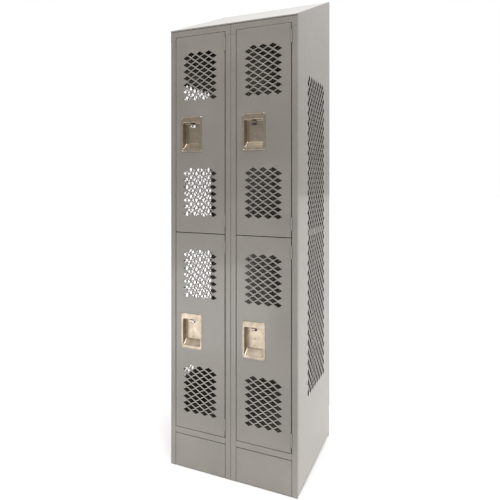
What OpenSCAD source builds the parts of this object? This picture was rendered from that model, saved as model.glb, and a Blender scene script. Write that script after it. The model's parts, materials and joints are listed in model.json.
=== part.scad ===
// Ventilated steel locker: two lockers wide, two tiers high, on a closed base and under a sloping hood.
// X runs across the front, Y runs back into the depth, Z is up. The origin is at the floor,
// in the middle of the whole box. Depths are counted back from the face plane of the frame.

/* [Cabinet] */
// Width of one locker
locker_w = 304.8; // [304.8:76.2:381]
// Depth from the face of the frame to the back
body_depth = 533.4; // [457.2:76.2:609.6]
// Height from the floor to the top of the front frame
body_h = 1981.2; // [1828.8:76.2:2133.6]
// Height of the closed base
base_h = 152.4; // [101.6:25.4:203.2]
// Rise of the sloping hood from front to back
hood_rise = 235; // [155:5:265]

/* [Sheet] */
// Thickness of the body and frame sheets
sheet = 1.5; // [1.2:0.1:1.6]
// Thickness of the door sheets
door_sheet = 1.9; // [1.5:0.1:2]
// Thickness of the centre partition
partition_t = 1.2; // [0.9:0.1:1.5]
// Width of the stiles and rails seen from the front
face_w = 25.4; // [25.4:0.8:31.8]

/* [Doors] */
// Gap between a door and the stile on its latch side
latch_gap = 2; // [1.5:0.1:2.5]
// Gap between a door and the stile on its hinge side
hinge_gap = 3.2; // [3:0.1:3.6]
// Gap above and below a door
end_gap = 1.5; // [1:0.1:2]
// Depth of the folded edges down the door's two sides
door_pan = 18; // [14:1:18]

/* [Mesh] */
// Long diagonal of one diamond hole
diamond_long = 41.5; // [36:0.5:43]
// Short diagonal of one diamond hole
diamond_short = 21.5; // [16:0.5:23]
// Distance between diamonds in a row, along their long diagonal
pitch_long = 44.45; // [42:0.05:46]
// Distance between diamonds in a row, along their short diagonal
pitch_short = 30.3; // [28:0.1:32]

/* [Handle] */
// Width of the cup's opening
cup_w = 88; // [80:1:92]
// Height of the cup's opening
cup_h = 118; // [110:1:124]
// Depth of the cup
cup_depth = 26; // [20:1:27]
// How far the latch drops from its raised position
latch_travel = 12; // [8:1:12]

/* [Hinge] */
// Radius of a hinge barrel
barrel_r = 3.8; // [3.4:0.1:4]
// Radius of a hinge pin
pin_r = 2.2; // [1.8:0.1:2.4]
// Length of a hinge along its pin
hinge_l = 56; // [50:1:70]

/* [Hidden] */
SIDES = ["left", "right"];
TIERS = ["upper", "lower"];
DOOR_PIECES = ["door", "handle_cup", "lift_trigger", "latch_hook", "hinge_leaves", "rivets"];
FRAME_PIECES = [
  "left_side_panel", "right_side_panel", "centre_partition",
  "left_back_panel", "right_back_panel", "left_rear_post", "right_rear_post",
  "left_outer_stile", "left_inner_stile", "right_inner_stile", "right_outer_stile",
  "left_header", "right_header", "left_middle_rail", "right_middle_rail",
  "left_bottom_rail", "right_bottom_rail", "left_base_panel", "right_base_panel",
  "left_top_panel", "right_top_panel", "left_tier_shelf", "right_tier_shelf",
  "left_floor_shelf", "right_floor_shelf",
  "sloping_hood", "hood_left_end", "hood_right_end", "hood_rear_panel",
  "frame_hinge_leaves", "hinge_pins", "latch_strikes", "door_bumpers", "coat_hooks"
];
function door_node(side, tier, piece) = str(side, "_", tier, "_", piece);

$fn = 48;
cut = 1; // how far a cutting tool runs past the sheet
slip = 0.3; // gap between neighbouring sheets inside the body

// Frame
pin_out = 1; // the hinge pin's axis stands this far in front of the face plane
front_y = pin_out + barrel_r - (body_depth + pin_out + barrel_r) / 2;
jamb_d = 22.5; // depth of the jamb beside a door
stop_w = 12; // width of the stop behind a door's edge
edge_d = 12; // depth of an outer stile's flange before it steps inside the side panel
lap_d = 38; // depth to which that flange runs inside the side panel
rail_lap = 45; // depth to which a middle rail's flanges run
shelf_d = lap_d + 0.5; // depth at which shelves start
shelf_flange = 25;
post_w = 15; // how far a rear post's back strap reaches inwards
post_d = 18.5; // how far a rear post's side strap reaches forwards
side_foot = 12; // gap under a side panel
floor_z = base_h + 9; // top of the floor shelf
mid_z = (base_h + body_h) / 2; // height of the joint between the upper and lower doors
tier_gap = 13; // how far a tier shelf's top stands above the joint between the doors
rail_drop = 19; // how far a middle rail reaches below that joint
header_end = 42; // height of a header's ends, which cover the tops of the stiles
seam = 0.6; // open line where a header meets a stile
base_gap = 1; // beside a base panel
base_foot = 3; // above and below a base panel
base_in = 0.5; // how far a base panel lies behind the face plane
base_fold = 20; // depth of a base panel's folded edges
anchor_r = 4.75; // wall anchor holes in the back panels
anchor_low = 400;
anchor_high = body_h - 180;

// Doors
door_x0 = face_w + latch_gap;
door_x1 = locker_w - face_w - hinge_gap;
axis_x = door_x1 + hinge_gap / 2;
field_edge = 84; // from a door's end to the nearest row of diamonds
field_rows = 14;
notch_r = barrel_r + 0.5;
pin_play = 0.05;
leaf_t = 1.2;
hinge_in = 28; // from a door's end to the end of its hinge
knuckles = 5;
knuckle_gap = 0.3;

// Handle
cup_x = door_x0 + 81.6; // centre of the cup
cup_wall = 1;
rim_side = 9.5;
rim_top = 27;
rim_bottom = 15;
rim_out = 1.5;
rim_r = 7;
ledge_rise = 18; // how far the cup's floor climbs from its mouth to its back
slot_x = -7; // centre of the trigger's slot, from the cup's centre
slot_w = 24;
slot_h = latch_travel + 13;
trigger_w = 18;
trigger_t = 3;
trigger_d = 9; // depth of the trigger's front edge
latch_d = cup_depth + 2.5; // depth of the latch plate's front
latch_t = 2;
latch_x0 = face_w + 16.6;
latch_bar_h = 10;
tongue_w = 8;
tongue_l = latch_travel + 2;
strike_t = 2;
strike_h = 24;
strike_gap = 2; // from the raised tongue down to its strike
trigger_drop = 4; // from the top of the cup down to the raised trigger
trigger_h = 9; // height of the trigger's front lip

// Bumpers
bumper_r = 4;
bumper_in = 150; // from a door's ends to its bumpers
bumper_gap = 0.5;

rivet_r = 2.5;
rivet_h = 0.8;
rim_rivet_up = 19; // from the cup's opening up to the rivet on its rim
back_rivets = [57, 84]; // from the top of the cup down to the rivets in its back
plate_rivet_r = 2.2;
plate_rivet_drop = 38; // from a door's top to its number plate rivets
plate_rivet_gap = 50.8;

// A block from one corner to the other: x across, d back from the face plane, z up
module block(x, d, z)
  translate([x[0], front_y + d[0], z[0]])
    cube([x[1] - x[0], d[1] - d[0], z[1] - z[0]]);

// An outline in x and d, pulled up from z0 to z1
module upright(outline, z0, z1)
  translate([0, front_y, z0])
    linear_extrude(height = z1 - z0)
      polygon(outline);

// An outline in d and z, pulled across from x0 to x1
module across(outline, x0, x1)
  translate([x0, front_y, 0])
    rotate([90, 0, 90])
      linear_extrude(height = x1 - x0)
        polygon(outline);

// A round bar along the depth, from d0 to d1
module round_bar(x, z, d0, d1, r)
  translate([x, front_y + d1, z])
    rotate([90, 0, 0])
      cylinder(h = d1 - d0, r = r);

// Moves a shape drawn for the left locker to the given side
module on_side(side)
  translate([side == "left" ? -locker_w : 0, 0, 0])
    children();

// Draws a shape for the left half as it is, or mirrored for the right half
module on_hand(side)
  mirror([side == "left" ? 0 : 1, 0, 0])
    children();

module diamond(w, h)
  polygon([[-w / 2, 0], [0, -h / 2], [w / 2, 0], [0, h / 2]]);

function door_z0(tier) = tier == "upper" ? mid_z + end_gap : base_h + face_w + end_gap;
function door_z1(tier) = tier == "upper" ? body_h - face_w - end_gap : mid_z - end_gap;
function door_mid(tier) = (door_z0(tier) + door_z1(tier)) / 2;
function cup_z0(tier) = door_mid(tier) - (rim_top + cup_h + rim_bottom) / 2 + rim_bottom;
function cup_z1(tier) = cup_z0(tier) + cup_h;
function hinge_starts(tier) = [door_z0(tier) + hinge_in, door_z1(tier) - hinge_in - hinge_l];

// ---- Side panels, partition and back ----

side_rows = 64;
side_long = 8; // diamonds in each longer row
side_pitch_y = body_depth * 0.0683; // across the depth
side_pitch_z = 43.8;
side_diamond = 28; // short diagonal of an upright diamond
side_diamond_h = 41; // its long diagonal
side_mid_y = body_depth * 0.529; // middle of the mesh; the left panel is the same part turned end for end
side_first_z = mid_z - 6 - side_pitch_z / 4 * (side_rows - 1);

// Upright diamonds in rows of eight and seven, with solid sheet all round them
module side_mesh(mid_y)
  for (row = [0 : side_rows - 1])
    for (i = [0 : side_long - 1 - row % 2])
      translate([
        mid_y + side_pitch_y * (i - (side_long - 1 - row % 2) / 2),
        side_first_z + row * side_pitch_z / 2
      ])
        diamond(side_diamond, side_diamond_h);

// A sheet standing along the depth, pierced with the mesh, from x0 to x1
module pierced_wall(outline, x0, x1, mid_y)
  translate([x0, front_y, 0])
    rotate([90, 0, 90])
      linear_extrude(height = x1 - x0)
        difference() {
          polygon(outline);
          side_mesh(mid_y);
        }

module side_panel(side)
  color("#a09a94")
    pierced_wall(
      [
        [edge_d + slip, side_foot],
        [body_depth - post_d - sheet, side_foot],
        [body_depth - post_d - sheet, base_h],
        [body_depth - partition_t, base_h],
        [body_depth - partition_t, body_h],
        [edge_d + slip, body_h]
      ],
      -locker_w, -locker_w + sheet,
      side == "left" ? body_depth - side_mid_y : side_mid_y
    );

module centre_partition()
  color("#a09a94")
    pierced_wall(
      [[2, 0], [body_depth - partition_t, 0], [body_depth - partition_t, body_h], [2, body_h]],
      -partition_t / 2, partition_t / 2,
      side_mid_y
    );

module back_panel()
  color("#969089")
    difference() {
      block([-locker_w, -slip], [body_depth - partition_t, body_depth], [base_h, body_h]);
      for (z = [anchor_low, anchor_high])
        round_bar(-locker_w / 2, z, body_depth - partition_t - cut, body_depth + cut, anchor_r);
    }

// Two straps that stand on the floor, one on the side panel and one on the back panel
module rear_post()
  color("#7c766f") {
    block(
      [-locker_w + sheet, -locker_w + 2 * sheet],
      [body_depth - post_d, body_depth - partition_t],
      [0, body_h]
    );
    block(
      [-locker_w + 2 * sheet + slip, -locker_w + post_w],
      [body_depth - partition_t - sheet, body_depth - partition_t],
      [0, body_h]
    );
  }

// ---- Front frame ----

// The outer stile's flange steps inside the side panel, and its jamb ends in a door stop
module outer_stile_section()
  upright(
    [
      [0, 0], [face_w, 0], [face_w, jamb_d], [face_w + stop_w, jamb_d],
      [face_w + stop_w, jamb_d + sheet], [face_w - sheet, jamb_d + sheet], [face_w - sheet, sheet],
      [2 * sheet, sheet], [2 * sheet, lap_d], [sheet, lap_d], [sheet, edge_d], [0, edge_d]
    ],
    0, body_h
  );

module inner_stile_section() {
  skin = partition_t / 2;
  upright(
    [
      [skin, 0], [face_w, 0], [face_w, jamb_d], [face_w + stop_w, jamb_d],
      [face_w + stop_w, jamb_d + sheet], [face_w - sheet, jamb_d + sheet], [face_w - sheet, sheet],
      [skin + sheet, sheet], [skin + sheet, lap_d], [skin, lap_d]
    ],
    0, body_h
  );
}

// Clears the hinge barrels of one locker
module barrel_notches(extra)
  for (tier = TIERS)
    for (z = hinge_starts(tier))
      translate([axis_x, front_y - pin_out, z - extra])
        cylinder(h = hinge_l + 2 * extra, r = notch_r);

// Takes the face off the top of a stile, where the header's end lies
module header_seat(x)
  block(x, [-cut, sheet], [body_h - header_end - seam, body_h + cut]);

module stile_on_latch_side(side)
  color("#a09d96")
    on_side(side)
      difference() {
        if (side == "left")
          outer_stile_section();
        else
          inner_stile_section();
        header_seat([-cut, face_w + cut]);
      }

module stile_on_hinge_side(side)
  color("#a09d96")
    on_side(side)
      difference() {
        translate([locker_w, 0, 0])
          mirror([1, 0, 0])
            if (side == "left")
              inner_stile_section();
            else
              outer_stile_section();
        barrel_notches(knuckle_gap);
        header_seat([locker_w - face_w - cut, locker_w + cut]);
      }

module header(side) {
  skin = partition_t / 2;
  ends = side == "left" ? [0, locker_w - skin] : [skin, locker_w];
  color("#8f8b84")
    on_side(side) {
      across(
        [
          [0, body_h - face_w], [jamb_d - sheet, body_h - face_w],
          [jamb_d - sheet, body_h - face_w - stop_w], [jamb_d, body_h - face_w - stop_w],
          [jamb_d, body_h - face_w + sheet], [sheet, body_h - face_w + sheet],
          [sheet, body_h], [0, body_h]
        ],
        face_w, locker_w - face_w
      );
      for (x = [[ends[0], face_w], [locker_w - face_w, ends[1]]])
        block(x, [0, sheet], [body_h - header_end, body_h]);
    }
}

module bottom_rail(side) {
  top = base_h + face_w;
  color("#8f8b84")
    on_side(side)
      across(
        [
          [0, base_h], [sheet, base_h], [sheet, top - sheet], [jamb_d, top - sheet],
          [jamb_d, top + stop_w], [jamb_d - sheet, top + stop_w],
          [jamb_d - sheet, top], [0, top]
        ],
        face_w, locker_w - face_w
      );
}

// Stands behind the joint between the two doors and carries the tier shelf
module middle_rail(side)
  color("#8f8b84")
    on_side(side) {
      block(
        [face_w, locker_w - face_w],
        [jamb_d - sheet, jamb_d],
        [mid_z - rail_drop, mid_z + tier_gap - sheet]
      );
      for (z = [mid_z - rail_drop, mid_z + tier_gap - 2 * sheet])
        block(
          [face_w + stop_w + slip, locker_w - face_w - stop_w - slip],
          [jamb_d, rail_lap],
          [z, z + sheet]
        );
    }

module base_panel(side) {
  x = [face_w + base_gap, locker_w - face_w - base_gap];
  z = [base_foot, base_h - base_foot];
  color("#a5a2a3")
    on_side(side)
      difference() {
        block(x, [base_in, base_fold], z);
        block([x[0] + sheet, x[1] - sheet], [base_in + sheet, base_fold + cut], [z[0] - cut, z[1] - sheet]);
      }
}

// ---- Shelves and top ----

// A sheet with its four edges folded down, with its top at z
module shelf(side, z) {
  left = (side == "left" ? 2 * sheet : partition_t / 2) + slip;
  right = locker_w - (side == "left" ? partition_t / 2 : 2 * sheet) - slip;
  back = body_depth - partition_t - sheet - slip;
  color("#958f88")
    on_side(side)
      difference() {
        block([left, right], [shelf_d, back], [z - shelf_flange, z]);
        block(
          [left + sheet, right - sheet],
          [shelf_d + sheet, back - sheet],
          [z - shelf_flange - cut, z - sheet]
        );
      }
}

// The tier shelf's front edge is notched over the rail that carries it
module tier_shelf(side)
  difference() {
    shelf(side, mid_z + tier_gap);
    on_side(side)
      block(
        [face_w, locker_w - face_w],
        [shelf_d - cut, rail_lap + slip],
        [mid_z - shelf_flange, mid_z + tier_gap - sheet]
      );
  }

// ---- Hood ----

hood_gap = 2; // dark line between the header and the hood's front lip
hood_foot = body_h + hood_gap;
hood_lip = 6;
hood_top = body_h + hood_rise;
hood_slope = (hood_top - hood_foot - hood_lip) / body_depth;
function hood_z(d) = hood_foot + hood_lip + d * hood_slope;

module sloping_hood()
  color("#efebea")
    across(
      [
        [0, hood_foot], [sheet, hood_foot], [sheet, hood_z(sheet) - sheet],
        [body_depth, hood_top - sheet], [body_depth, hood_top], [0, hood_z(0)]
      ],
      -locker_w, locker_w
    );

module hood_end()
  color("#b5b0ab")
    across(
      [
        [2 * sheet, body_h], [body_depth, body_h],
        [body_depth, hood_top - sheet], [2 * sheet, hood_z(2 * sheet) - sheet]
      ],
      -locker_w, -locker_w + sheet
    );

module hood_rear_panel()
  color("#969089")
    block(
      [-locker_w + sheet, locker_w - sheet],
      [body_depth - sheet, body_depth],
      [body_h, hood_z(body_depth - sheet) - sheet]
    );

// ---- Hinges ----

// One knuckle's lowest and highest point above the hinge's own start
function knuckle_z(i) = [
  i * hinge_l / knuckles + knuckle_gap / 2,
  (i + 1) * hinge_l / knuckles - knuckle_gap / 2
];

// A leaf beside the gap at x, with the knuckles it owns; the axis is at the origin
module leaf(x, own, other)
  difference() {
    union() {
      translate([x, 0, knuckle_gap / 2])
        cube([leaf_t, door_pan + pin_out, hinge_l - knuckle_gap]);
      for (i = own)
        translate([0, 0, knuckle_z(i)[0]])
          cylinder(h = knuckle_z(i)[1] - knuckle_z(i)[0], r = barrel_r);
    }
    for (i = other)
      translate([0, 0, i * hinge_l / knuckles - knuckle_gap / 2])
        cylinder(h = hinge_l / knuckles + knuckle_gap, r = notch_r);
    translate([0, 0, -cut])
      cylinder(h = hinge_l + 2 * cut, r = pin_r + pin_play);
  }

// Repeats a shape at both hinges of a door
module at_hinges(side, tier)
  on_side(side)
    for (z = hinge_starts(tier))
      translate([axis_x, front_y - pin_out, z])
        children();

module frame_hinge_leaves()
  color("#9c968f")
    for (side = SIDES)
      for (tier = TIERS)
        at_hinges(side, tier)
          leaf(hinge_gap / 2 - leaf_t, [0, 2, 4], [1, 3]);

module hinge_pins()
  color("silver")
    for (side = SIDES)
      for (tier = TIERS)
        at_hinges(side, tier)
          cylinder(h = hinge_l, r = pin_r);

module hinge_leaves(side, tier)
  color("#9c968f")
    at_hinges(side, tier)
      leaf(-hinge_gap / 2, [1, 3], [0, 2, 4]);

// ---- Doors ----

// Rows of four and three lying diamonds, centred on the door
module door_field(from_four)
  for (row = [0 : field_rows - 1]) {
    count = (row % 2 == 0) == from_four ? 4 : 3;
    for (i = [0 : count - 1])
      translate([(i - (count - 1) / 2) * pitch_long, row * pitch_short / 2])
        diamond(diamond_long, diamond_short);
  }

module door(side, tier) {
  z0 = door_z0(tier);
  z1 = door_z1(tier);
  end_pan = door_pan - 2;
  field_h = (field_rows - 1) * pitch_short / 2;
  color("#8c8880")
    on_side(side)
      difference() {
        union() {
          translate([0, front_y + door_sheet, 0])
            rotate([90, 0, 0])
              linear_extrude(height = door_sheet)
                difference() {
                  translate([door_x0, z0])
                    square([door_x1 - door_x0, z1 - z0]);
                  for (z = [z0 + field_edge, z1 - field_edge - field_h])
                    translate([(door_x0 + door_x1) / 2, z])
                      door_field(true);
                  translate([cup_x - cup_w / 2 - cup_wall - slip, cup_z0(tier) - 3 * cup_wall])
                    square([cup_w + 2 * (cup_wall + slip), cup_h + 5 * cup_wall]);
                }
          for (x = [door_x0, door_x1 - door_sheet])
            block([x, x + door_sheet], [0, door_pan], [z0, z1]);
          for (z = [z0, z1 - door_sheet])
            block([door_x0, door_x1], [0, end_pan], [z, z + door_sheet]);
        }
        barrel_notches(knuckle_gap);
      }
}

// ---- Handle and latch ----

module rounded_plate(w, h, r) {
  square([w - 2 * r, h], center = true);
  square([w, h - 2 * r], center = true);
  for (x = [r - w / 2, w / 2 - r])
    for (z = [r - h / 2, h / 2 - r])
      translate([x, z])
        circle(r = r);
}

// The cup is a rim on the door's face around a box whose floor climbs to its back
module handle_cup(side, tier) {
  z0 = cup_z0(tier);
  z1 = cup_z1(tier);
  rim_h = rim_top + cup_h + rim_bottom;
  back = cup_depth + cup_wall;
  color("#c8bfb2")
    on_side(side)
      difference() {
        union() {
          translate([cup_x, front_y, z0 - rim_bottom + rim_h / 2])
            rotate([90, 0, 0])
              linear_extrude(height = rim_out)
                rounded_plate(cup_w + 2 * rim_side, rim_h, rim_r);
          across(
            [
              [0, z0 - 2 * cup_wall], [back, z0 + ledge_rise - 2 * cup_wall],
              [back, z1 + cup_wall], [0, z1 + cup_wall]
            ],
            cup_x - cup_w / 2 - cup_wall, cup_x + cup_w / 2 + cup_wall
          );
        }
        across(
          [
            [-rim_out - cut, z0], [0, z0], [cup_depth, z0 + ledge_rise],
            [cup_depth, z1], [-rim_out - cut, z1]
          ],
          cup_x - cup_w / 2, cup_x + cup_w / 2
        );
        block(
          [cup_x + slot_x - slot_w / 2, cup_x + slot_x + slot_w / 2],
          [cup_depth - cut, back + cut],
          [z1 - slot_h - 1, z1 - 1]
        );
      }
}

// A finger lip in front of the cup's back, on a tongue that reaches through the slot
module lift_trigger(side, tier) {
  x = [cup_x + slot_x - trigger_w / 2, cup_x + slot_x + trigger_w / 2];
  top = cup_z1(tier) - trigger_drop;
  color("#b9b2a8")
    on_side(side) {
      block(x, [trigger_d, latch_d], [top - trigger_t, top]);
      block(x, [trigger_d, trigger_d + trigger_t], [top - trigger_h, top - trigger_t]);
    }
}

// A flat bar behind the cup, with a tongue that drops behind the strike on the stile
module latch_hook(side, tier) {
  top = cup_z1(tier) - 1;
  color("silver")
    on_side(side) {
      block(
        [latch_x0, cup_x + slot_x + trigger_w / 2],
        [latch_d, latch_d + latch_t],
        [top - latch_bar_h, top]
      );
      block(
        [latch_x0, latch_x0 + tongue_w],
        [latch_d, latch_d + latch_t],
        [top - latch_bar_h - tongue_l, top - latch_bar_h]
      );
    }
}

// A tab behind each latch side stop, for the tongue to drop behind
module latch_strikes()
  color("silver")
    for (side = SIDES)
      for (tier = TIERS) {
        top = cup_z1(tier) - 1 - latch_bar_h - tongue_l - strike_gap;
        on_side(side)
          block(
            [face_w + 4, latch_x0 + tongue_w + 1],
            [jamb_d + sheet, jamb_d + sheet + strike_t],
            [top - strike_h, top]
          );
      }

// Rubber pads on the stops, for the doors' edges to close against
module door_bumpers()
  color("#2b2a28")
    for (side = SIDES)
      for (tier = TIERS)
        on_side(side)
          for (z = [door_z0(tier) + bumper_in, door_z1(tier) - bumper_in])
            round_bar(face_w + stop_w / 2, z, door_pan + bumper_gap, jamb_d, bumper_r);

module rivets(side, tier)
  color("#cfc8bd")
    on_side(side) {
      for (x = [-plate_rivet_gap / 2, plate_rivet_gap / 2])
        round_bar((door_x0 + door_x1) / 2 + x, door_z1(tier) - plate_rivet_drop, -rivet_h, 0, plate_rivet_r);
      for (z = [cup_z0(tier) - rim_bottom / 2, cup_z1(tier) + rim_rivet_up])
        round_bar(cup_x + slot_x / 2, z, -rim_out - rivet_h, -rim_out, rivet_r);
      for (z = back_rivets)
        round_bar(cup_x + slot_x, cup_z1(tier) - z, cup_depth - rivet_h, cup_depth, rivet_r);
    }

// ---- Coat hooks ----

hook_t = 2.5;
hook_w = 12;
hook_r = 11; // inside of the bend
hook_tip = 10; // from the bend up to the tip
hook_steps = 8;
hook_d = body_depth - 62;
hook_drop = 140; // from a compartment's ceiling down to its wall hooks
stem = 20;

function arc(x, z, r, from, to) = [
  for (i = [0 : hook_steps])
    let (a = from + (to - from) * i / hook_steps)
      [x + r * cos(a), z + r * sin(a)]
];

// A flat strip from a stem at x = 0, down and round a half circle to a tip; top is the stem's upper end
module hook_strip(top)
  translate([0, hook_w / 2, 0])
    rotate([90, 0, 0])
      linear_extrude(height = hook_w)
        polygon(concat(
          [[0, top], [hook_t, top]],
          arc(hook_t + hook_r, 0, hook_r, 180, 360),
          [[hook_t + 2 * hook_r, hook_tip], [2 * (hook_t + hook_r), hook_tip]],
          arc(hook_t + hook_r, 0, hook_t + hook_r, 0, -180)
        ));

// Two strips back to back under a plate, one prong to the front and one to the back
module ceiling_hook() {
  translate([-hook_w / 2, -15, -hook_t])
    cube([hook_w, 30, hook_t]);
  for (turn = [90, 270])
    rotate([0, 0, turn])
      translate([0, 0, -hook_t - stem])
        hook_strip(stem);
}

module coat_hooks()
  color("silver")
    for (side = SIDES)
      for (tier = TIERS) {
        ceiling = tier == "upper" ? body_h - 2 * sheet : mid_z + tier_gap - sheet;
        left = side == "left" ? sheet : partition_t / 2;
        right = side == "left" ? partition_t / 2 : sheet;
        on_side(side) {
          translate([left, front_y + hook_d, ceiling - hook_drop])
            hook_strip(stem);
          translate([locker_w - right, front_y + hook_d, ceiling - hook_drop])
            mirror([1, 0, 0])
              hook_strip(stem);
          translate([locker_w / 2, front_y + body_depth / 2, ceiling])
            ceiling_hook();
        }
      }

// ---- The pieces ----

centre_partition();
sloping_hood();
hood_rear_panel();
frame_hinge_leaves();
hinge_pins();
latch_strikes();
door_bumpers();
coat_hooks();
stile_on_latch_side("left");  // left_outer_stile
stile_on_hinge_side("left");  // left_inner_stile
stile_on_latch_side("right");  // right_inner_stile
stile_on_hinge_side("right");  // right_outer_stile

for (side = SIDES) {
  on_hand(side) side_panel(side);
  on_hand(side) back_panel();
  on_hand(side) rear_post();
  on_hand(side) hood_end();
  header(side);
  middle_rail(side);
  bottom_rail(side);
  base_panel(side);
  shelf(side, body_h - sheet);
  tier_shelf(side);
  shelf(side, floor_z);
  for (tier = TIERS) {
    door(side, tier);
    handle_cup(side, tier);
    lift_trigger(side, tier);
    latch_hook(side, tier);
    hinge_leaves(side, tier);
    rivets(side, tier);
  }
}
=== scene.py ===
import bpy, bmesh, json, math
from mathutils import Matrix, Vector
from mathutils.geometry import tessellate_polygon


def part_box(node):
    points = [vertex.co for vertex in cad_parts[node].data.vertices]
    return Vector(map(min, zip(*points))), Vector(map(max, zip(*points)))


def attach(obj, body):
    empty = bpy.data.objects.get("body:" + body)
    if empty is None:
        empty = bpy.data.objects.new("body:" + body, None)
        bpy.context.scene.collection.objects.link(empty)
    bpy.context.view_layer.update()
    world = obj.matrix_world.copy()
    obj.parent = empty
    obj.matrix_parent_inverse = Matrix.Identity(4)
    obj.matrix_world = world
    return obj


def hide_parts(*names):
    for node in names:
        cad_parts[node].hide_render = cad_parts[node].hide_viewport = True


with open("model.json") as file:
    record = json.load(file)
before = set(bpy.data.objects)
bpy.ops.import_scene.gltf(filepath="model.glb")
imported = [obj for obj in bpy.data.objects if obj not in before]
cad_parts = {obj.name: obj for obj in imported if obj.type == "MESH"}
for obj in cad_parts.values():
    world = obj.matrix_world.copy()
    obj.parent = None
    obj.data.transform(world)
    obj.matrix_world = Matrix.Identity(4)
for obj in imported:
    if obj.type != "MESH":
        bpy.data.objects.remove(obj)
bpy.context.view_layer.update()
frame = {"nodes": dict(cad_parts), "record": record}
nodes = frame["nodes"]
mm = 0.001
scene = bpy.context.scene

sides = ("left", "right")
tiers = ("upper", "lower")

# the faces and heights that most pieces are placed from
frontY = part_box("left_upper_door")[0].y
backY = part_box("left_back_panel")[1].y
depth = backY - frontY
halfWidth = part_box("sloping_hood")[1].x
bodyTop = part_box("left_side_panel")[1].z
midZ = (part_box("left_upper_door")[0].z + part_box("left_lower_door")[1].z) / 2


# outlines, as lists of (u, v) in metres

def roundCorners(points, radius, steps=4, closed=True):
    # replaces each corner by an arc; radius is one number or one for each point
    count = len(points)
    radii = [radius] * count if isinstance(radius, (int, float)) else list(radius)
    out = []
    for i, p in enumerate(points):
        corner = Vector(p)
        if radii[i] <= 0 or (not closed and i in (0, count - 1)):
            out.append(corner)
            continue
        a = Vector(points[i - 1]) - corner
        b = Vector(points[(i + 1) % count]) - corner
        half = a.angle(b) / 2
        reach = min(radii[i] / math.tan(half), 0.49 * min(a.length, b.length))
        r = reach * math.tan(half)
        a.normalize()
        b.normalize()
        centre = corner + (a + b).normalized() * r / math.sin(half)
        first = corner + a * reach - centre
        turn = math.pi - 2 * half
        if first.x * b.y - first.y * b.x < 0:
            turn = -turn
        out += [centre + Matrix.Rotation(turn * k / steps, 2) @ first for k in range(steps + 1)]
    return [(p.x, p.y) for p in out]


def foldedSheet(path, thickness, foldR, steps=4):
    # the outline of a bent sheet: path runs along one face and the metal lies on its left
    points = [Vector(p) for p in path]
    ways = [(b - a).normalized() for a, b in zip(points, points[1:])]
    lefts = [Vector((-w.y, w.x)) for w in ways]
    last = len(points) - 1
    inner, faceR, innerR = [], [], []
    for i, p in enumerate(points):
        if i in (0, last):
            inner.append(p + lefts[min(i, last - 1)] * thickness)
            faceR.append(0)
            innerR.append(0)
            continue
        a, b = lefts[i - 1], lefts[i]
        inner.append(p + (a + b) / (1 + a.dot(b)) * thickness)
        outside = ways[i - 1].x * ways[i].y - ways[i - 1].y * ways[i].x > 0
        small = max(foldR - thickness, 0.3 * mm)
        faceR.append(foldR if outside else small)
        innerR.append(small if outside else foldR)
    face = roundCorners(points, faceR, steps, closed=False)
    back = roundCorners(inner, innerR, steps, closed=False)
    return face + back[::-1]


def rectangle(u0, u1, v0, v1):
    return [(u0, v0), (u1, v0), (u1, v1), (u0, v1)]


def roundedBox(u0, u1, v0, v1, r, steps=4):
    return roundCorners(rectangle(u0, u1, v0, v1), max(r, 0.05 * mm), steps)


def grown(loop, by):
    # the same loop moved outwards (by > 0) or inwards along its corners' normals
    centre = Vector((sum(p[0] for p in loop), sum(p[1] for p in loop))) / len(loop)
    out = []
    for i, p in enumerate(loop):
        a = Vector(p) - Vector(loop[i - 1])
        b = Vector(loop[(i + 1) % len(loop)]) - Vector(p)
        n = Vector((a.y, -a.x)).normalized() + Vector((b.y, -b.x)).normalized()
        n.normalize()
        if n.dot(Vector(p) - centre) < 0:
            n = -n
        out.append((p[0] + n.x * by, p[1] + n.y * by))
    return out


def circle(u, v, r, count=16):
    turns = [math.tau * k / count for k in range(count)]
    return [(u + r * math.cos(a), v + r * math.sin(a)) for a in turns]


# where an outline's u and v and its third measure d go
def onFront(u, v, d):
    return Vector((u, frontY + d, v))


def onSide(x0, way):
    return lambda u, v, d: Vector((x0 + way * d, u, v))


def upwards(u, v, d):
    return Vector((u, v, d))


def acrossX(u, v, d):
    return Vector((d, u, v))


def acrossFront(u, v, d):
    return Vector((d, frontY + u, v))


# meshes

def shellMesh(bm, place, rings, holes=(), dents=()):
    # rings of (loop, d) joined in turn; the first and last are filled, less the holes, which are rings too
    def ringVerts(loop, d):
        return [bm.verts.new(place(u, v, d)) for u, v in loop]

    shells = [[ringVerts(*ring) for ring in shell] for shell in (rings, *holes)]
    dentShells = [[ringVerts(*ring) for ring in dent] for dent in dents]
    for shell in shells + dentShells:
        for a, b in zip(shell, shell[1:]):
            for i in range(len(a)):
                bm.faces.new((a[i - 1], a[i], b[i], b[i - 1]))
    for dent in dentShells:
        bm.faces.new(dent[-1])
    for end in (0, -1):
        outlines = [shell[end][0] for shell in (rings, *holes)]
        verts = [v for shell in shells for v in shell[end]]
        if end == 0:
            outlines += [dent[0][0] for dent in dents]
            verts += [v for dent in dentShells for v in dent[0]]
        flat = [[Vector((u, v, 0)) for u, v in loop] for loop in outlines]
        for corners in tessellate_polygon(flat):
            bm.faces.new([verts[i] for i in corners])


def meshOf(name, builds):
    bm = bmesh.new()
    for build in builds:
        build(bm)
    bmesh.ops.recalc_face_normals(bm, faces=bm.faces)
    mesh = bpy.data.meshes.new(name)
    bm.to_mesh(mesh)
    bm.free()
    piece = bpy.data.objects.new(name, mesh)
    scene.collection.objects.link(piece)
    return piece


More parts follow.
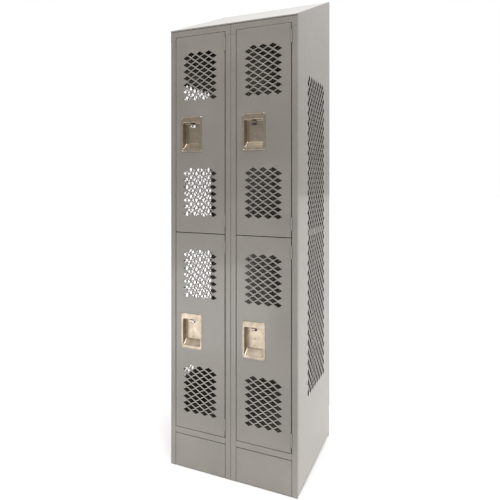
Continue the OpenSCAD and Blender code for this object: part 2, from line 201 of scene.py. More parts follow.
def carve(piece, cutters):
    # cuts closed shapes out of a piece and keeps the result
    tool = meshOf("cutter", cutters)
    cut = piece.modifiers.new("cut", "BOOLEAN")
    cut.object = tool
    cut.solver = "EXACT"
    bpy.context.view_layer.update()
    result = bpy.data.meshes.new_from_object(piece.evaluated_get(bpy.context.evaluated_depsgraph_get()))
    piece.modifiers.remove(cut)
    piece.data = result
    bpy.data.objects.remove(tool)


def makePiece(name, body, replaced, material, build, cutters=(), smooth=50):
    piece = meshOf(name, [build])
    if cutters:
        carve(piece, cutters)
    piece.data.shade_smooth()
    piece.data.set_sharp_from_angle(angle=math.radians(smooth))
    piece.data.materials.clear()
    piece.data.materials.append(material)
    flats = piece.modifiers.new("flats", "WEIGHTED_NORMAL")   # wide flats stay flat beside rounded folds
    flats.keep_sharp = True
    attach(piece, body)
    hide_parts(*replaced)
    return piece


def plateRings(outline, d0, d1, edge=0.4 * mm):
    # a flat plate with its edges eased
    eased = grown(outline, -edge)
    return [(eased, d0), (outline, d0 + edge), (outline, d1 - edge), (eased, d1)]


def holeRings(outline, d0, d1, edge=0.35 * mm):
    # a hole through a plate, its edges eased
    eased = grown(outline, edge)
    return [(eased, d0), (outline, d0 + edge), (outline, d1 - edge), (eased, d1)]


def dentRings(u, v, r, deep, d0):
    # a shallow round dent, as a spot weld leaves
    return [(circle(u, v, r * k), d0 + deep * (1 - k * k)) for k in (1, 0.8, 0.55, 0.3)]


def dome(bm, u, v, r, rise, d0):
    # a rivet head on the front, standing this far out of the face at depth d0
    bends = [math.pi / 2 * k / 6 for k in range(5, -1, -1)]
    shellMesh(bm, onFront, [(circle(u, v, r * math.cos(a), 24), d0 - rise * math.sin(a)) for a in bends])


# materials

mixA, mixB, mixOut = 6, 7, 2   # the colour sockets of a Mix node


def linear(hexColour):
    # sRGB hex to linear light
    parts = [int(hexColour[i:i + 2], 16) / 255 for i in (1, 3, 5)]
    return tuple(c / 12.92 if c <= 0.04045 else ((c + 0.055) / 1.055) ** 2.4 for c in parts) + (1,)


def addNode(tree, kind, settings=None, links=None):
    # settings are the node's own or its sockets' values, links are {socket: where it comes from}
    node = tree.nodes.new(kind)
    for key, value in (settings or {}).items():
        if isinstance(key, str) and hasattr(node, key):
            setattr(node, key, value)
        else:
            node.inputs[key].default_value = value
    for key, source in (links or {}).items():
        tree.links.new(source, node.inputs[key])
    return node


def perMetre(size):
    # a pattern's scale from the size in millimetres of one of its marks
    return 1 / (size * mm)


def newMaterial(name, roughness, metallic=0.0):
    material = bpy.data.materials.new(name)
    material.use_nodes = True
    tree = material.node_tree
    shader = tree.nodes["Principled BSDF"]
    shader.inputs["Roughness"].default_value = roughness
    shader.inputs["Metallic"].default_value = metallic
    place = addNode(tree, "ShaderNodeTexCoord").outputs["Object"]
    return material, tree, shader, place


enamel = {
    "colour": "#7e7972",
    "thin": "#75706a",          # where the coat went on thinner
    "paintedFloorBounce": "#aaa49c",          # painted bounce light: the grey turns lighter towards the floor, where light thrown up from it falls
    "cloud": 240.0,             # mm, slow drift of the coat from pass to pass of the spray gun
    "grit": 1.6,                # mm, mottle in the pigment, coarser than the real 0.1 mm so that it shows
    "peel": 3.2,                # mm, orange peel, about twice the real size so that it shows
    "peelHeight": 0.035,        # mm
    "roughness": (0.36, 0.5),
    "gloss": 0.6,               # the share of clear gloss over the pigment
    "glossRoughness": 0.12,
    "paintedBounceTop": 0.3,             # m, height at which the painted bounce light has faded out
}


def bakedEnamel():
    # grey enamel sprayed on steel sheet and baked: a semi-gloss coat with slight orange peel, which lets
    # folds catch the light while the flats keep a soft, faintly mottled grey
    material, tree, shader, place = newMaterial("sprayedBakedEnamel", 0.42)
    shader.inputs["Coat Weight"].default_value = enamel["gloss"]
    shader.inputs["Coat Roughness"].default_value = enamel["glossRoughness"]
    cloud, grit, peel = [
        addNode(tree, "ShaderNodeTexNoise", {"Scale": perMetre(enamel[mark]), "Detail": detail},
                {"Vector": place})
        for mark, detail in (("cloud", 5.0), ("grit", 2.0), ("peel", 1.0))]
    drift = addNode(tree, "ShaderNodeMapRange", {"From Min": 0.3, "From Max": 0.7},
                    {"Value": cloud.outputs["Fac"]})
    coat = addNode(tree, "ShaderNodeMix",
                   {"data_type": "RGBA", mixA: linear(enamel["thin"]), mixB: linear(enamel["colour"])},
                   {"Factor": drift.outputs["Result"]})
    shade = addNode(tree, "ShaderNodeMapRange",
                    {"From Min": 0.25, "From Max": 0.75, "To Min": 0.94, "To Max": 1.05},
                    {"Value": grit.outputs["Fac"]})
    mottled = addNode(tree, "ShaderNodeVectorMath", {"operation": "SCALE"},
                      {0: coat.outputs[mixOut], "Scale": shade.outputs["Result"]})
    height = addNode(tree, "ShaderNodeSeparateXYZ", {}, {"Vector": place})
    # painted bounce light: below this height the grey is mixed lighter towards the floor, in drifting
    # patches, standing in for the floor's light on the base
    low = addNode(tree, "ShaderNodeMapRange", {"From Max": enamel["paintedBounceTop"], "To Min": 0.5, "To Max": 0.0},
                  {"Value": height.outputs["Z"]})
    paintedBounceShare = addNode(tree, "ShaderNodeMath", {"operation": "MULTIPLY"},
                    {0: low.outputs["Result"], 1: cloud.outputs["Fac"]})
    withPaintedBounce = addNode(tree, "ShaderNodeMix", {"data_type": "RGBA", mixB: linear(enamel["paintedFloorBounce"])},
                   {"Factor": paintedBounceShare.outputs["Value"], mixA: mottled.outputs["Vector"]})
    smooth, rough = enamel["roughness"]
    sheen = addNode(tree, "ShaderNodeMapRange",
                    {"From Min": 0.3, "From Max": 0.7, "To Min": smooth, "To Max": rough},
                    {"Value": cloud.outputs["Fac"]})
    relief = addNode(tree, "ShaderNodeMath", {"operation": "MULTIPLY_ADD", 1: 0.25},
                     {0: grit.outputs["Fac"], 2: peel.outputs["Fac"]})
    bump = addNode(tree, "ShaderNodeBump", {"Strength": 1.0, "Distance": enamel["peelHeight"] * mm},
                   {"Height": relief.outputs["Value"]})
    tree.links.new(withPaintedBounce.outputs[mixOut], shader.inputs["Base Color"])
    tree.links.new(sheen.outputs["Result"], shader.inputs["Roughness"])
    tree.links.new(bump.outputs["Normal"], shader.inputs["Normal"])
    return material


stainless = {
    "colour": "#b1a594",
    "dull": "#9d9182",          # hand marks and the draw marks of the press
    "lineLong": 45.0,           # mm, length of one brushed line
    "lineFine": 0.7,            # mm, drawn wider than the real 0.1 mm so that the grain shows
    "smudge": 30.0,             # mm
    "lineHeight": 0.003,        # mm
    "roughness": (0.32, 0.44),
}


def brushedStainless():
    # stainless steel sheet drawn in a press and brushed: a warm metal whose fine level lines smear the
    # light sideways, duller in smudges where hands reach
    material, tree, shader, place = newMaterial("drawnBrushedStainlessSteel", 0.32, metallic=1.0)
    along, fine = perMetre(stainless["lineLong"]), perMetre(stainless["lineFine"])
    stretched = addNode(tree, "ShaderNodeMapping", {"Scale": (along, along, fine)}, {"Vector": place})
    lines = addNode(tree, "ShaderNodeTexNoise", {"Scale": 1.0, "Detail": 3.0},
                    {"Vector": stretched.outputs["Vector"]})
    smudge = addNode(tree, "ShaderNodeTexNoise", {"Scale": perMetre(stainless["smudge"]), "Detail": 3.0},
                     {"Vector": place})
    mask = addNode(tree, "ShaderNodeMapRange", {"From Min": 0.35, "From Max": 0.7},
                   {"Value": smudge.outputs["Fac"]})
    metal = addNode(tree, "ShaderNodeMix",
                    {"data_type": "RGBA", mixA: linear(stainless["colour"]),
                     mixB: linear(stainless["dull"])},
                    {"Factor": mask.outputs["Result"]})
    glint = addNode(tree, "ShaderNodeMapRange",
                    {"From Min": 0.3, "From Max": 0.7, "To Min": 0.88, "To Max": 1.08},
                    {"Value": lines.outputs["Fac"]})
    brushed = addNode(tree, "ShaderNodeVectorMath", {"operation": "SCALE"},
                      {0: metal.outputs[mixOut], "Scale": glint.outputs["Result"]})
    both = addNode(tree, "ShaderNodeMath", {"operation": "MULTIPLY_ADD", 1: 0.5},
                   {0: lines.outputs["Fac"], 2: mask.outputs["Result"]})
    smooth, rough = stainless["roughness"]
    gloss = addNode(tree, "ShaderNodeMapRange", {"From Max": 1.5, "To Min": smooth, "To Max": rough},
                    {"Value": both.outputs["Value"]})
    bump = addNode(tree, "ShaderNodeBump", {"Strength": 1.0, "Distance": stainless["lineHeight"] * mm},
                   {"Height": lines.outputs["Fac"]})
    tree.links.new(brushed.outputs["Vector"], shader.inputs["Base Color"])
    tree.links.new(gloss.outputs["Result"], shader.inputs["Roughness"])
    tree.links.new(bump.outputs["Normal"], shader.inputs["Normal"])
    return material


zinc = {
    "colour": "#c3c5c6",
    "grey": "#8f9294",          # the duller crystals and what handling leaves
    "crystal": 5.0,             # mm
    "haze": 20.0,               # mm
    "roughness": (0.28, 0.5),
    "height": 0.02,             # mm
}


def platedZinc():
    # bright zinc plated on steel: a cold metal with faint crystal patches, so hooks and latch bars
    # don't read as one clean chrome
    material, tree, shader, place = newMaterial("electroplatedZinc", 0.38, metallic=1.0)
    crystals = addNode(tree, "ShaderNodeTexVoronoi", {"Scale": perMetre(zinc["crystal"])}, {"Vector": place})
    tint = addNode(tree, "ShaderNodeSeparateColor", {}, {"Color": crystals.outputs["Color"]})
    haze = addNode(tree, "ShaderNodeTexNoise", {"Scale": perMetre(zinc["haze"]), "Detail": 4.0},
                   {"Vector": place})
    mask = addNode(tree, "ShaderNodeMath", {"operation": "MULTIPLY"},
                   {0: tint.outputs["Red"], 1: haze.outputs["Fac"]})
    metal = addNode(tree, "ShaderNodeMix",
                    {"data_type": "RGBA", mixA: linear(zinc["colour"]), mixB: linear(zinc["grey"])},
                    {"Factor": mask.outputs["Value"]})
    smooth, rough = zinc["roughness"]
    gloss = addNode(tree, "ShaderNodeMapRange", {"To Min": smooth, "To Max": rough},
                    {"Value": haze.outputs["Fac"]})
    bump = addNode(tree, "ShaderNodeBump", {"Strength": 1.0, "Distance": zinc["height"] * mm},
                   {"Height": haze.outputs["Fac"]})
    tree.links.new(metal.outputs[mixOut], shader.inputs["Base Color"])
    tree.links.new(gloss.outputs["Result"], shader.inputs["Roughness"])
    tree.links.new(bump.outputs["Normal"], shader.inputs["Normal"])
    return material


rubber = {
    "colour": "#262422",
    "bloom": "#3d3a37",         # the dry bloom on old rubber
    "grain": 1.0,               # mm
    "roughness": (0.65, 0.85),
    "height": 0.05,             # mm
}


def mouldedRubber():
    # moulded black rubber with a dry bloom: matt and slightly uneven
    material, tree, shader, place = newMaterial("mouldedBlackRubber", 0.75)
    grain = addNode(tree, "ShaderNodeTexNoise", {"Scale": perMetre(rubber["grain"]), "Detail": 3.0},
                    {"Vector": place})
    tone = addNode(tree, "ShaderNodeMix",
                   {"data_type": "RGBA", mixA: linear(rubber["colour"]), mixB: linear(rubber["bloom"])},
                   {"Factor": grain.outputs["Fac"]})
    smooth, rough = rubber["roughness"]
    matt = addNode(tree, "ShaderNodeMapRange", {"To Min": smooth, "To Max": rough},
                   {"Value": grain.outputs["Fac"]})
    bump = addNode(tree, "ShaderNodeBump", {"Strength": 1.0, "Distance": rubber["height"] * mm},
                   {"Height": grain.outputs["Fac"]})
    tree.links.new(tone.outputs[mixOut], shader.inputs["Base Color"])
    tree.links.new(matt.outputs["Result"], shader.inputs["Roughness"])
    tree.links.new(bump.outputs["Normal"], shader.inputs["Normal"])
    return material


paint = bakedEnamel()
steel = brushedStainless()
plated = platedZinc()
rubberPad = mouldedRubber()
print("materials made")


# pressed sheet pieces

def panRings(x0, x1, z0, z1, d0, deep, thick, foldR, cornerR, steps=4):
    # a tray pressed from sheet: the face, a rounded fold, flanges to the back, and the inside of it all
    def ring(inset, d):
        return roundedBox(x0 + inset, x1 - inset, z0 + inset, z1 - inset, cornerR - inset, steps), d0 + d

    quarter = [math.pi / 2 * k / steps for k in range(steps + 1)]
    innerR = foldR - thick
    out = [ring(foldR * (1 - math.sin(a)), foldR * (1 - math.cos(a))) for a in quarter]
    edge = 0.3 * mm                                    # how far the flanges' cut edges are eased
    out += [ring(0.0, deep - edge), ring(edge, deep), ring(thick - edge, deep), ring(thick, deep - edge)]
    out += [ring(thick + innerR * (1 - math.sin(a)), thick + innerR * (1 - math.cos(a)))
            for a in quarter[::-1]]
    return out


def diamondHole(u, v, long, short, tipR):
    # a lying diamond: long across, short upright; swap the two for an upright one
    corners = [(u - long / 2, v), (u, v - short / 2), (u + long / 2, v), (u, v + short / 2)]
    return roundCorners(corners, tipR, 3)


hinge = {"long": 56.0, "clear": 0.9}   # length, and the room that doors and stiles leave round its barrels


def hingeRods(side, tier):
    # a door's two hinge barrels with room round them, to cut out of what stands beside them
    lo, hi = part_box(f"{side}_{tier}_hinge_leaves")
    barrelR = (hi.x - lo.x) / 2
    clear, long = hinge["clear"] * mm, hinge["long"] * mm
    ring = circle((lo.x + hi.x) / 2, lo.y + barrelR, barrelR + clear, 32)
    spans = ((lo.z - clear, lo.z + long), (hi.z - long, hi.z + clear))
    return [lambda bm, a=a, b=b: shellMesh(bm, upwards, [(ring, a), (ring, b)]) for a, b in spans]


door = {
    "sheet": 1.9, "deep": 18.0, "fold": 2.6, "corner": 3.0,
    "long": 41.5, "short": 21.5, "tip": 1.0,           # one diamond
    "pitchLong": 44.45, "pitchShort": 30.3,            # from diamond to diamond
    "cupRoom": 1.3, "cupCorner": 8.0,                  # the opening for the cup clears its walls
    "rows": 14, "fieldEdge": 84.0,                     # rows in a field, from a door's end to its first row
}


def doorHoles(box):
    middle = (box[0].x + box[1].x) / 2
    step = door["pitchShort"] * mm / 2
    long, short, tip = (door[k] * mm for k in ("long", "short", "tip"))
    fieldHeight = (door["rows"] - 1) * step
    holes = []
    for foot in (box[0].z + door["fieldEdge"] * mm, box[1].z - door["fieldEdge"] * mm - fieldHeight):
        for row in range(door["rows"]):
            count = 4 - row % 2
            for i in range(count):
                u = middle + (i - (count - 1) / 2) * door["pitchLong"] * mm
                hole = diamondHole(u, foot + row * step, long, short, tip)
                holes.append(holeRings(hole, 0.0, door["sheet"] * mm))
    return holes


def makeDoor(side, tier):
    node = f"{side}_{tier}_door"
    lo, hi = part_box(node)
    sheet, deep, fold, corner, room = (door[k] * mm for k in ("sheet", "deep", "fold", "corner", "cupRoom"))
    rings = panRings(lo.x, hi.x, lo.z, hi.z, 0.0, deep, sheet, fold, corner)
    u0, u1, v0, v1 = cupMouth(side, tier)
    opening = roundedBox(u0 - room, u1 + room, v0 - room, v1 + room, door["cupCorner"] * mm)
    holes = doorHoles((lo, hi)) + [holeRings(opening, 0.0, sheet)]
    makePiece(f"{node}_pressed", f"{side}_{tier}_door_leaf", [node], paint,
              lambda bm: shellMesh(bm, onFront, rings, holes), cutters=hingeRods(side, tier))


# handle: a cup drawn from stainless sheet, with its trigger and rivets

cup = {
    "side": 9.5, "top": 27.0, "bottom": 15.0,          # widths of the rim round the mouth
    "proud": 2.3, "land": 0.7,                         # the lip's and the flat's height over the door
    "rimR": 10.0, "mouthR": 6.0, "lip": 3.6,           # corners, and the raised lip's width
    "deep": 26.0, "wall": 1.0, "ledge": 23.0,          # the floor slopes up this far to the back
    "draft": 1.2,                                      # how far each wall draws in towards the back
    "slotWide": 24.0, "slotHigh": 18.0,                # the trigger's slot in the back
    "slotX": -7.0, "slotDrop": 3.4,                    # from the mouth's middle and top
}


def cupMouth(side, tier):
    lo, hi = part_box(f"{side}_{tier}_handle_cup")
    edge, bottom, top = (cup[k] * mm for k in ("side", "bottom", "top"))
    return (lo.x + edge, hi.x - edge, lo.z + bottom, hi.z - top)


def makeCup(side, tier):
    node = f"{side}_{tier}_handle_cup"
    u0, u1, v0, v1 = cupMouth(side, tier)
    edge, top, bottom = (cup[k] * mm for k in ("side", "top", "bottom"))
    rimR, mouthR, deep, wall = (cup[k] * mm for k in ("rimR", "mouthR", "deep", "wall"))
    draft, ledge, lip = (cup[k] * mm for k in ("draft", "ledge", "lip"))

    def inside(d, inset=0.0):
        # the recess at depth d: its sides draw in and its floor slopes up, slightly hollow
        s = min(max(d / deep, 0), 1)
        climb = ledge * s ** 1.2
        return roundedBox(u0 + draft * s + inset, u1 - draft * s - inset, v0 + climb + inset,
                          v1 - draft * s - inset, mouthR - inset)

    def rim(share, inset=0.0):
        # between the mouth (share 0) and the rim's outer edge (share 1)
        return roundedBox(u0 - edge * share + inset, u1 + edge * share - inset, v0 - bottom * share + inset,
                          v1 + top * share - inset, mouthR + (rimR - mouthR) * share)

    proud, land = cup["proud"] * mm, cup["land"] * mm
    steps = (0.06, 0.25, 0.45, 0.62, 0.76, 0.87, 0.95)  # shares of the depth, closer towards the back
    front = [(inside(deep, 1.6 * mm), deep), (inside(deep, 0.6 * mm), deep - 0.4 * mm)]
    front += [(inside(deep * k), deep * k) for k in reversed(steps)]
    bend = [math.pi / 2 * k / 5 for k in range(1, 6)]   # the mouth's edge rolls out onto the rim
    foot, bendR = 0.7 * mm, 2.4 * mm
    front += [(grown(inside(0), bendR * (1 - math.cos(a))), foot - (land + foot) * math.sin(a))
              for a in bend]
    front += [(rim(1, lip + 1.2 * mm), -land), (rim(1, lip), -land)]
    front += [(rim(1, lip * 0.75), -proud + 0.1 * mm), (rim(1, lip * 0.5), -proud)]
    front += [(rim(1, lip * 0.25), -proud + 0.15 * mm), (rim(1, 0.1 * mm), -0.6 * mm), (rim(1), 0.0)]
    behind = [(grown(inside(0), wall * 1.1), 0.0)]
    behind += [(grown(inside(deep * k), wall), deep * k + wall * k) for k in steps]
    behind += [(grown(inside(deep, 0.6 * mm), wall * 0.6), deep + wall)]
    slotU = (u0 + u1) / 2 + cup["slotX"] * mm
    slotV = v1 - cup["slotDrop"] * mm
    slot = roundedBox(slotU - cup["slotWide"] * mm / 2, slotU + cup["slotWide"] * mm / 2,
                      slotV - cup["slotHigh"] * mm, slotV, 2 * mm)
    slotHole = holeRings(slot, deep, deep + wall, 0.2 * mm)
    makePiece(f"{node}_drawn", f"{side}_{tier}_door_leaf", [node], steel,
              lambda bm: shellMesh(bm, onFront, front + behind, [slotHole]))


trigger = {"sheet": 2.4, "fold": 3.4, "lip": 9.0}        # the lip hangs down at the front


def makeTrigger(side, tier):
    # a strip bent down at its front, where fingers lift it
    node = f"{side}_{tier}_lift_trigger"
    lo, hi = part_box(node)
    path = [(hi.y, hi.z), (lo.y, hi.z), (lo.y, hi.z - trigger["lip"] * mm)]
    outline = foldedSheet(path, trigger["sheet"] * mm, trigger["fold"] * mm)
    makePiece(f"{node}_bent", f"{side}_{tier}_latch", [node], steel,
              lambda bm: shellMesh(bm, acrossX, plateRings(outline, lo.x, hi.x, 0.3 * mm)))


rivet = {
    "plateR": 2.6, "rimR": 2.8, "rise": 1.2,           # a head's radius and height
    "plateDrop": 38.0, "plateGap": 50.8,               # the number plate's pair, below the door's top
    "rimX": -3.5, "rimDrop": 7.5, "rimRise": 19.0,     # on the cup's rim, from the mouth
    "backX": -7.0, "backDrops": (57.0, 84.0),          # in the cup's back, from the top of the mouth
}


def makeRivets(side, tier):
    node, body = f"{side}_{tier}_rivets", f"{side}_{tier}_door_leaf"
    lo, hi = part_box(f"{side}_{tier}_door")
    u0, u1, v0, v1 = cupMouth(side, tier)
    middle, doorMiddle = (u0 + u1) / 2, (lo.x + hi.x) / 2
    rise = rivet["rise"] * mm

    def plateRivets(bm):
        for way in (-1, 1):
            u = doorMiddle + way * rivet["plateGap"] * mm / 2
            dome(bm, u, hi.z - rivet["plateDrop"] * mm, rivet["plateR"] * mm, rise, 0.0)

    def cupRivets(bm):
        for v in (v0 - rivet["rimDrop"] * mm, v1 + rivet["rimRise"] * mm):
            dome(bm, middle + rivet["rimX"] * mm, v, rivet["rimR"] * mm, rise, -cup["land"] * mm)
        for drop in rivet["backDrops"]:
            u = middle + rivet["backX"] * mm
            dome(bm, u, v1 - drop * mm, rivet["rimR"] * mm, rise, cup["deep"] * mm)

    makePiece(f"{node}_painted", body, [node], paint, plateRivets)
    makePiece(f"{node}_steel", body, [node], steel, cupRivets)


for side in sides:
    for tier in tiers:
        makeDoor(side, tier)
        makeCup(side, tier)
        makeTrigger(side, tier)
        makeRivets(side, tier)
print("doors and handles made")


# front frame, folded from sheet

stile = {
    "face": 25.4, "jamb": 22.5, "stop": 12.0,          # the face, the fold behind it and the door's stop
    "wrap": 11.0, "step": 1.5, "lap": 38.0,            # round the corner, under the side panel, and back
    "sheet": 1.5, "fold": 2.6,
}
seam = 1.0 * mm                                        # the open line under a header's end


def makeStile(name, x0, way, outer, hingedSide):
    k = {key: value * mm for key, value in stile.items()}
    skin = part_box("centre_partition")[1].x
    face = [(k["face"], 0.0), (k["face"], k["jamb"]), (k["face"] + k["stop"], k["jamb"])]
    if outer:                                          # its flange steps in under the side panel
        flange = [(k["step"], k["lap"]), (k["step"], k["wrap"] + k["step"]), (0.0, k["wrap"]), (0.0, 0.0)]
    else:
        flange = [(skin, k["lap"]), (skin, 0.0)]
    outline = foldedSheet(flange + face, k["sheet"], k["fold"])
    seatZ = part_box("left_header")[0].z - seam

    past = 5 * mm                                      # how far the cutter stands out of the stile

    def seat(bm):
        # the face is cut away where the header's end lies over it
        u0, u1 = sorted((x0 - way * past, x0 + way * (k["face"] + past)))
        box = rectangle(u0, u1, seatZ, bodyTop + past)
        shellMesh(bm, onFront, [(box, -past), (box, k["sheet"] + 0.05 * mm)])

    cutters = [seat] + [rod for tier in tiers if hingedSide for rod in hingeRods(hingedSide, tier)]
    makePiece(f"{name}_folded", "cabinet", [name], paint,
              lambda bm: shellMesh(bm, lambda u, v, d: Vector((x0 + way * u, frontY + v, d)),
                                   [(outline, 0.0), (outline, bodyTop)]), cutters=cutters)


makeStile("left_outer_stile", -halfWidth, 1, True, None)
makeStile("left_inner_stile", 0.0, -1, False, "left")
makeStile("right_inner_stile", 0.0, 1, False, None)
makeStile("right_outer_stile", halfWidth, -1, True, "right")


def lockerX(side):
    return (-halfWidth, 0.0) if side == "left" else (0.0, halfWidth)


def makeHeader(side):
    # a plate whose ends hang over the stiles, and the jamb folded back under it
    node = f"{side}_header"
    lo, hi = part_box(node)
    x0, x1 = (x + way * stile["face"] * mm for x, way in zip(lockerX(side), (1, -1)))
    foot = hi.z - stile["face"] * mm
    plate = [(lo.x, lo.z), (x0, lo.z), (x0, foot), (x1, foot),
             (x1, lo.z), (hi.x, lo.z), (hi.x, hi.z), (lo.x, hi.z)]
    jamb = (stile["jamb"] - stile["sheet"]) * mm
    path = [(0.5 * mm, foot), (jamb, foot), (jamb, foot - stile["stop"] * mm)]
    fold = foldedSheet(path, stile["sheet"] * mm, stile["fold"] * mm)

    def build(bm):
        shellMesh(bm, onFront, plateRings(plate, 0.0, stile["sheet"] * mm, 0.5 * mm))
        shellMesh(bm, acrossFront, [(fold, x0), (fold, x1)])

    makePiece(f"{node}_folded", "cabinet", [node], paint, build)


def makeBottomRail(side):
    node = f"{side}_bottom_rail"
    lo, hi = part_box(node)
    jamb, top = (stile["jamb"] - stile["sheet"]) * mm, hi.z - stile["stop"] * mm
    path = [(jamb, hi.z), (jamb, top), (0.0, top), (0.0, lo.z)]
    outline = foldedSheet(path, stile["sheet"] * mm, stile["fold"] * mm)
    makePiece(f"{node}_folded", "cabinet", [node], paint,
              lambda bm: shellMesh(bm, acrossFront, [(outline, lo.x), (outline, hi.x)]))


base = {"sheet": 1.5, "fold": 2.2, "corner": 2.0}


def makeBasePanel(side):
    node = f"{side}_base_panel"
    lo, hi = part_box(node)
    sheet, fold, corner = (base[k] * mm for k in ("sheet", "fold", "corner"))
    rings = panRings(lo.x, hi.x, lo.z, hi.z, lo.y - frontY, hi.y - lo.y, sheet, fold, corner)
    makePiece(f"{node}_folded", "cabinet", [node], paint,
              lambda bm: shellMesh(bm, onFront, rings))


for side in sides:
    makeHeader(side)
    makeBottomRail(side)
    makeBasePanel(side)
print("front frame made")


# pierced walls

wall = {
    "long": 41.0, "short": 28.0, "tip": 1.25,          # one upright diamond
    "rows": 64, "count": 8,                            # rows of eight and seven
    "pitchShare": 0.0683, "middleShare": 0.529,        # shares of the depth; the left panel is turned round
    "pitchUp": 43.8, "lower": 6.0,                     # how far the field's middle lies under midZ
    "weldR": 4.0, "weldDeep": 0.9,                     # spot welds that hold the flanges behind
    "weldIn": 33.0, "rearWeldIn": 16.5,                # from the front and from the back
    "welds": (-220.0, -147.0, 0.0, 150.0),             # from a door's middle, downwards on the upper one
    "notch": 18.8,                                     # cut away round the rear post's foot
}


def wallHoles(thick, middleShare):
    step = wall["pitchUp"] * mm / 2
    foot = midZ - wall["lower"] * mm - step * (wall["rows"] - 1) / 2
    holes = []
    for row in range(wall["rows"]):
        count = wall["count"] - row % 2
        for i in range(count):
            u = frontY + depth * (middleShare + wall["pitchShare"] * (i - (count - 1) / 2))
            hole = diamondHole(u, foot + row * step, wall["short"] * mm, wall["long"] * mm, wall["tip"] * mm)
            holes.append(holeRings(hole, 0.0, thick))
    return holes


def weldDents():
    dents = []
    for tier, way in zip(tiers, (-1, 1)):
        lo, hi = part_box(f"left_{tier}_door")
        for offset in wall["welds"]:
            v = (lo.z + hi.z) / 2 + way * offset * mm
            for u in (frontY + wall["weldIn"] * mm, backY - wall["rearWeldIn"] * mm):
                dents.append(dentRings(u, v, wall["weldR"] * mm, wall["weldDeep"] * mm, 0.0))
    return dents


def makeWall(node, x0, way, thick, outline, dents, middleShare):
    makePiece(f"{node}_pierced", "cabinet", [node], paint,
              lambda bm: shellMesh(bm, onSide(x0, way), plateRings(outline, 0.0, thick),
                                   wallHoles(thick, middleShare), dents))


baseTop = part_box("left_back_panel")[0].z
for side, way in zip(sides, (1, -1)):
    lo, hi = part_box(f"{side}_side_panel")
    notchY = hi.y - wall["notch"] * mm
    outline = [(lo.y, lo.z), (notchY, lo.z), (notchY, baseTop), (hi.y, baseTop), (hi.y, hi.z), (lo.y, hi.z)]
    middle = wall["middleShare"] if side == "right" else 1 - wall["middleShare"]
    makeWall(f"{side}_side_panel", -way * halfWidth, way, hi.x - lo.x, outline, weldDents(), middle)
lo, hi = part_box("centre_partition")
outline = rectangle(lo.y, hi.y, lo.z, hi.z)
makeWall("centre_partition", lo.x, 1, hi.x - lo.x, outline, [], wall["middleShare"])
print("pierced walls made")


# hood

hood = {"sheet": 1.5, "fold": 3.0, "lip": 6.0}


def makeHood():
    lo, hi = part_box("sloping_hood")
    path = [(hi.y, hi.z), (lo.y, lo.z + hood["lip"] * mm), (lo.y, lo.z)]
    outline = foldedSheet(path, hood["sheet"] * mm, hood["fold"] * mm)
    makePiece("sloping_hood_folded", "cabinet", ["sloping_hood"], paint,
              lambda bm: shellMesh(bm, acrossX, plateRings(outline, lo.x, hi.x, 0.3 * mm)))


def makeHoodEnd(side, way):
    node = f"hood_{side}_end"
    lo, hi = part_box(node)
    slopeLo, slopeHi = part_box("sloping_hood")
    slope = (slopeHi.z - slopeLo.z - hood["lip"] * mm) / depth
    front = hi.z - slope * (hi.y - lo.y)
    outline = [(lo.y, lo.z), (hi.y, lo.z), (hi.y, hi.z), (lo.y, front)]
    rings = plateRings(outline, 0.0, hi.x - lo.x, 0.5 * mm)
    makePiece(f"{node}_cut", "cabinet", [node], paint,
              lambda bm: shellMesh(bm, onSide(-way * halfWidth, way), rings))


makeHood()
for side, way in zip(sides, (1, -1)):
    makeHoodEnd(side, way)
print("hood made")


# the plain folded, turned and moulded pieces keep their own shapes, with eased edges

finishes = {"grey_paint": paint, "stainless": steel, "zinc_plate": plated, "rubber": rubberPad}
edges = {"grey_paint": 0.4, "stainless": 0.3, "zinc_plate": 0.35, "rubber": 0.5}   # mm
slots = {part["node"]: part["material_slot"] for part in frame["record"]["subparts"]}
for name, node in nodes.items():
    if node.hide_render:
        continue
    for materialSlot in node.material_slots:
        materialSlot.material = finishes[slots[name]]
    weld = node.modifiers.new("joined faces", "WELD")  # a bevel needs the faces joined at their edges
    weld.merge_threshold = 0.002 * mm
    ease = node.modifiers.new("eased edges", "BEVEL")
    ease.width = edges[slots[name]] * mm
    ease.segments = 2
    ease.limit_method = "ANGLE"
    ease.angle_limit = math.radians(60)
    ease.harden_normals = True
print("plain pieces finished")


# floor, light and camera

floorTone = {"colour": "#f6f5f4", "cloud": 900.0, "roughness": 0.6}


def paleFloor():
    # pale matt floor paint: an even ground with the faintest drift in tone
    material, tree, shader, place = newMaterial("rolledMattFloorPaint", floorTone["roughness"])
    cloud = addNode(tree, "ShaderNodeTexNoise", {"Scale": perMetre(floorTone["cloud"])}, {"Vector": place})
    tone = addNode(tree, "ShaderNodeMapRange", {"To Min": 0.98, "To Max": 1.0},
                   {"Value": cloud.outputs["Fac"]})
    colour = addNode(tree, "ShaderNodeVectorMath",
                     {"operation": "SCALE", 0: linear(floorTone["colour"])[:3]},
                     {"Scale": tone.outputs["Result"]})
    tree.links.new(colour.outputs["Vector"], shader.inputs["Base Color"])
    return material


floorMesh = bpy.data.meshes.new("floor")
reach = 30.0                                           # metres from the cabinet to the floor's edges
floorCorners = [(u, v, 0) for u, v in rectangle(-reach, reach, -reach, reach)]
floorMesh.from_pydata(floorCorners, [], [(0, 1, 2, 3)])
floor = bpy.data.objects.new("floor", floorMesh)
floorMesh.materials.append(paleFloor())
scene.collection.objects.link(floor)

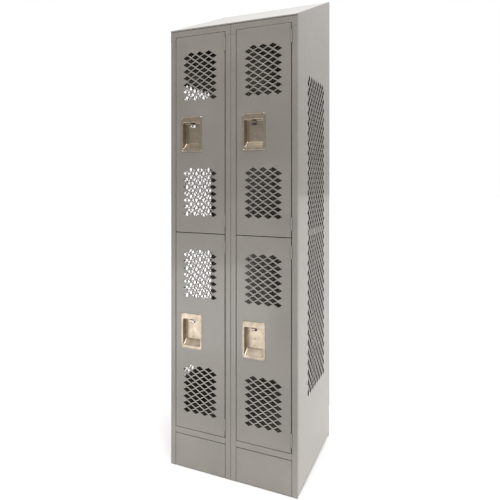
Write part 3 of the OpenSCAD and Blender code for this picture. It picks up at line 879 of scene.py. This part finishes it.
lights = {
    "backdrop": 1.0,                                   # the white that shows behind the cabinet
    "bright": 1.25, "dim": 0.25,                       # the studio's light from its ceiling, and elsewhere
    "brightWay": (0.0, 0.25, 0.97),                    # the ceiling is brightest a little behind the cabinet
    "dimUnder": -0.1, "brightOver": 0.9,               # how far towards brightWay each of them starts
    "sun": {"strength": 1.0, "angle": 50.0, "turn": (25.0, 0.0, 60.0)},
    "panels": (                                        # watts, size and place in metres, where it points
        {"name": "rightLow", "power": 34.0, "size": 1.6, "at": (2.8, -0.1, 0.25), "to": (0.3, 0.0, 0.4)},
        {"name": "frontLow", "power": 5.0, "size": 0.9, "at": (-0.8, -1.6, 0.2), "to": (0.0, -0.2, 0.1)},
        {"name": "overFront", "power": 36.0, "size": 0.8, "at": (0.1, -0.85, 3.6), "to": (0.0, -0.3, 0.0)},
    ),
}


def lightStudio():
    world = bpy.data.worlds.new("studio")
    scene.world = world
    world.use_nodes = True
    tree = world.node_tree
    way = addNode(tree, "ShaderNodeVectorMath", {"operation": "DOT_PRODUCT", 1: lights["brightWay"]},
                  {0: addNode(tree, "ShaderNodeTexCoord").outputs["Generated"]})
    glow = addNode(tree, "ShaderNodeMapRange",
                   {"interpolation_type": "SMOOTHSTEP",
                    "From Min": lights["dimUnder"], "From Max": lights["brightOver"],
                    "To Min": lights["dim"], "To Max": lights["bright"]}, {"Value": way.outputs["Value"]})
    # what shows behind the cabinet is plain white, while the studio's own light falls on it
    shown = addNode(tree, "ShaderNodeLightPath").outputs["Is Camera Ray"]
    strength = addNode(tree, "ShaderNodeMix", {"B": lights["backdrop"]},
                       {"Factor": shown, "A": glow.outputs["Result"]})
    tree.links.new(strength.outputs["Result"], tree.nodes["Background"].inputs["Strength"])
    tree.nodes["Background"].inputs["Color"].default_value = (1, 1, 1, 1)
    sun = bpy.data.lights.new("overhead", "SUN")
    sun.energy = lights["sun"]["strength"]
    sun.angle = math.radians(lights["sun"]["angle"])
    overhead = bpy.data.objects.new("overhead", sun)
    overhead.rotation_euler = [math.radians(a) for a in lights["sun"]["turn"]]
    scene.collection.objects.link(overhead)
    for panel in lights["panels"]:
        lamp = bpy.data.lights.new(panel["name"], "AREA")
        lamp.energy = panel["power"]
        lamp.size = panel["size"]
        lampObject = bpy.data.objects.new(panel["name"], lamp)
        at, to = Vector(panel["at"]), Vector(panel["to"])
        lampObject.location = at
        lampObject.rotation_euler = (to - at).to_track_quat("-Z", "Y").to_euler()
        scene.collection.objects.link(lampObject)


view = {
    "at": (0.894, -2.113, 1.316),                      # metres
    "turn": 23.45,                                     # degrees to the left, and level
    "lens": 33.98,                                     # mm on a 36 mm sensor
    "shift": -0.145,
}


def placeCamera():
    camera = bpy.data.cameras.new("camera")
    camera.lens = view["lens"]
    camera.sensor_width = 36
    camera.shift_y = view["shift"]
    camera.dof.use_dof = False
    cameraObject = bpy.data.objects.new("camera", camera)
    cameraObject.location = view["at"]
    cameraObject.rotation_euler = (math.pi / 2, 0, math.radians(view["turn"]))
    scene.collection.objects.link(cameraObject)
    scene.camera = cameraObject


lightStudio()
placeCamera()
scene.view_settings.view_transform = "Standard"
print("studio lit")
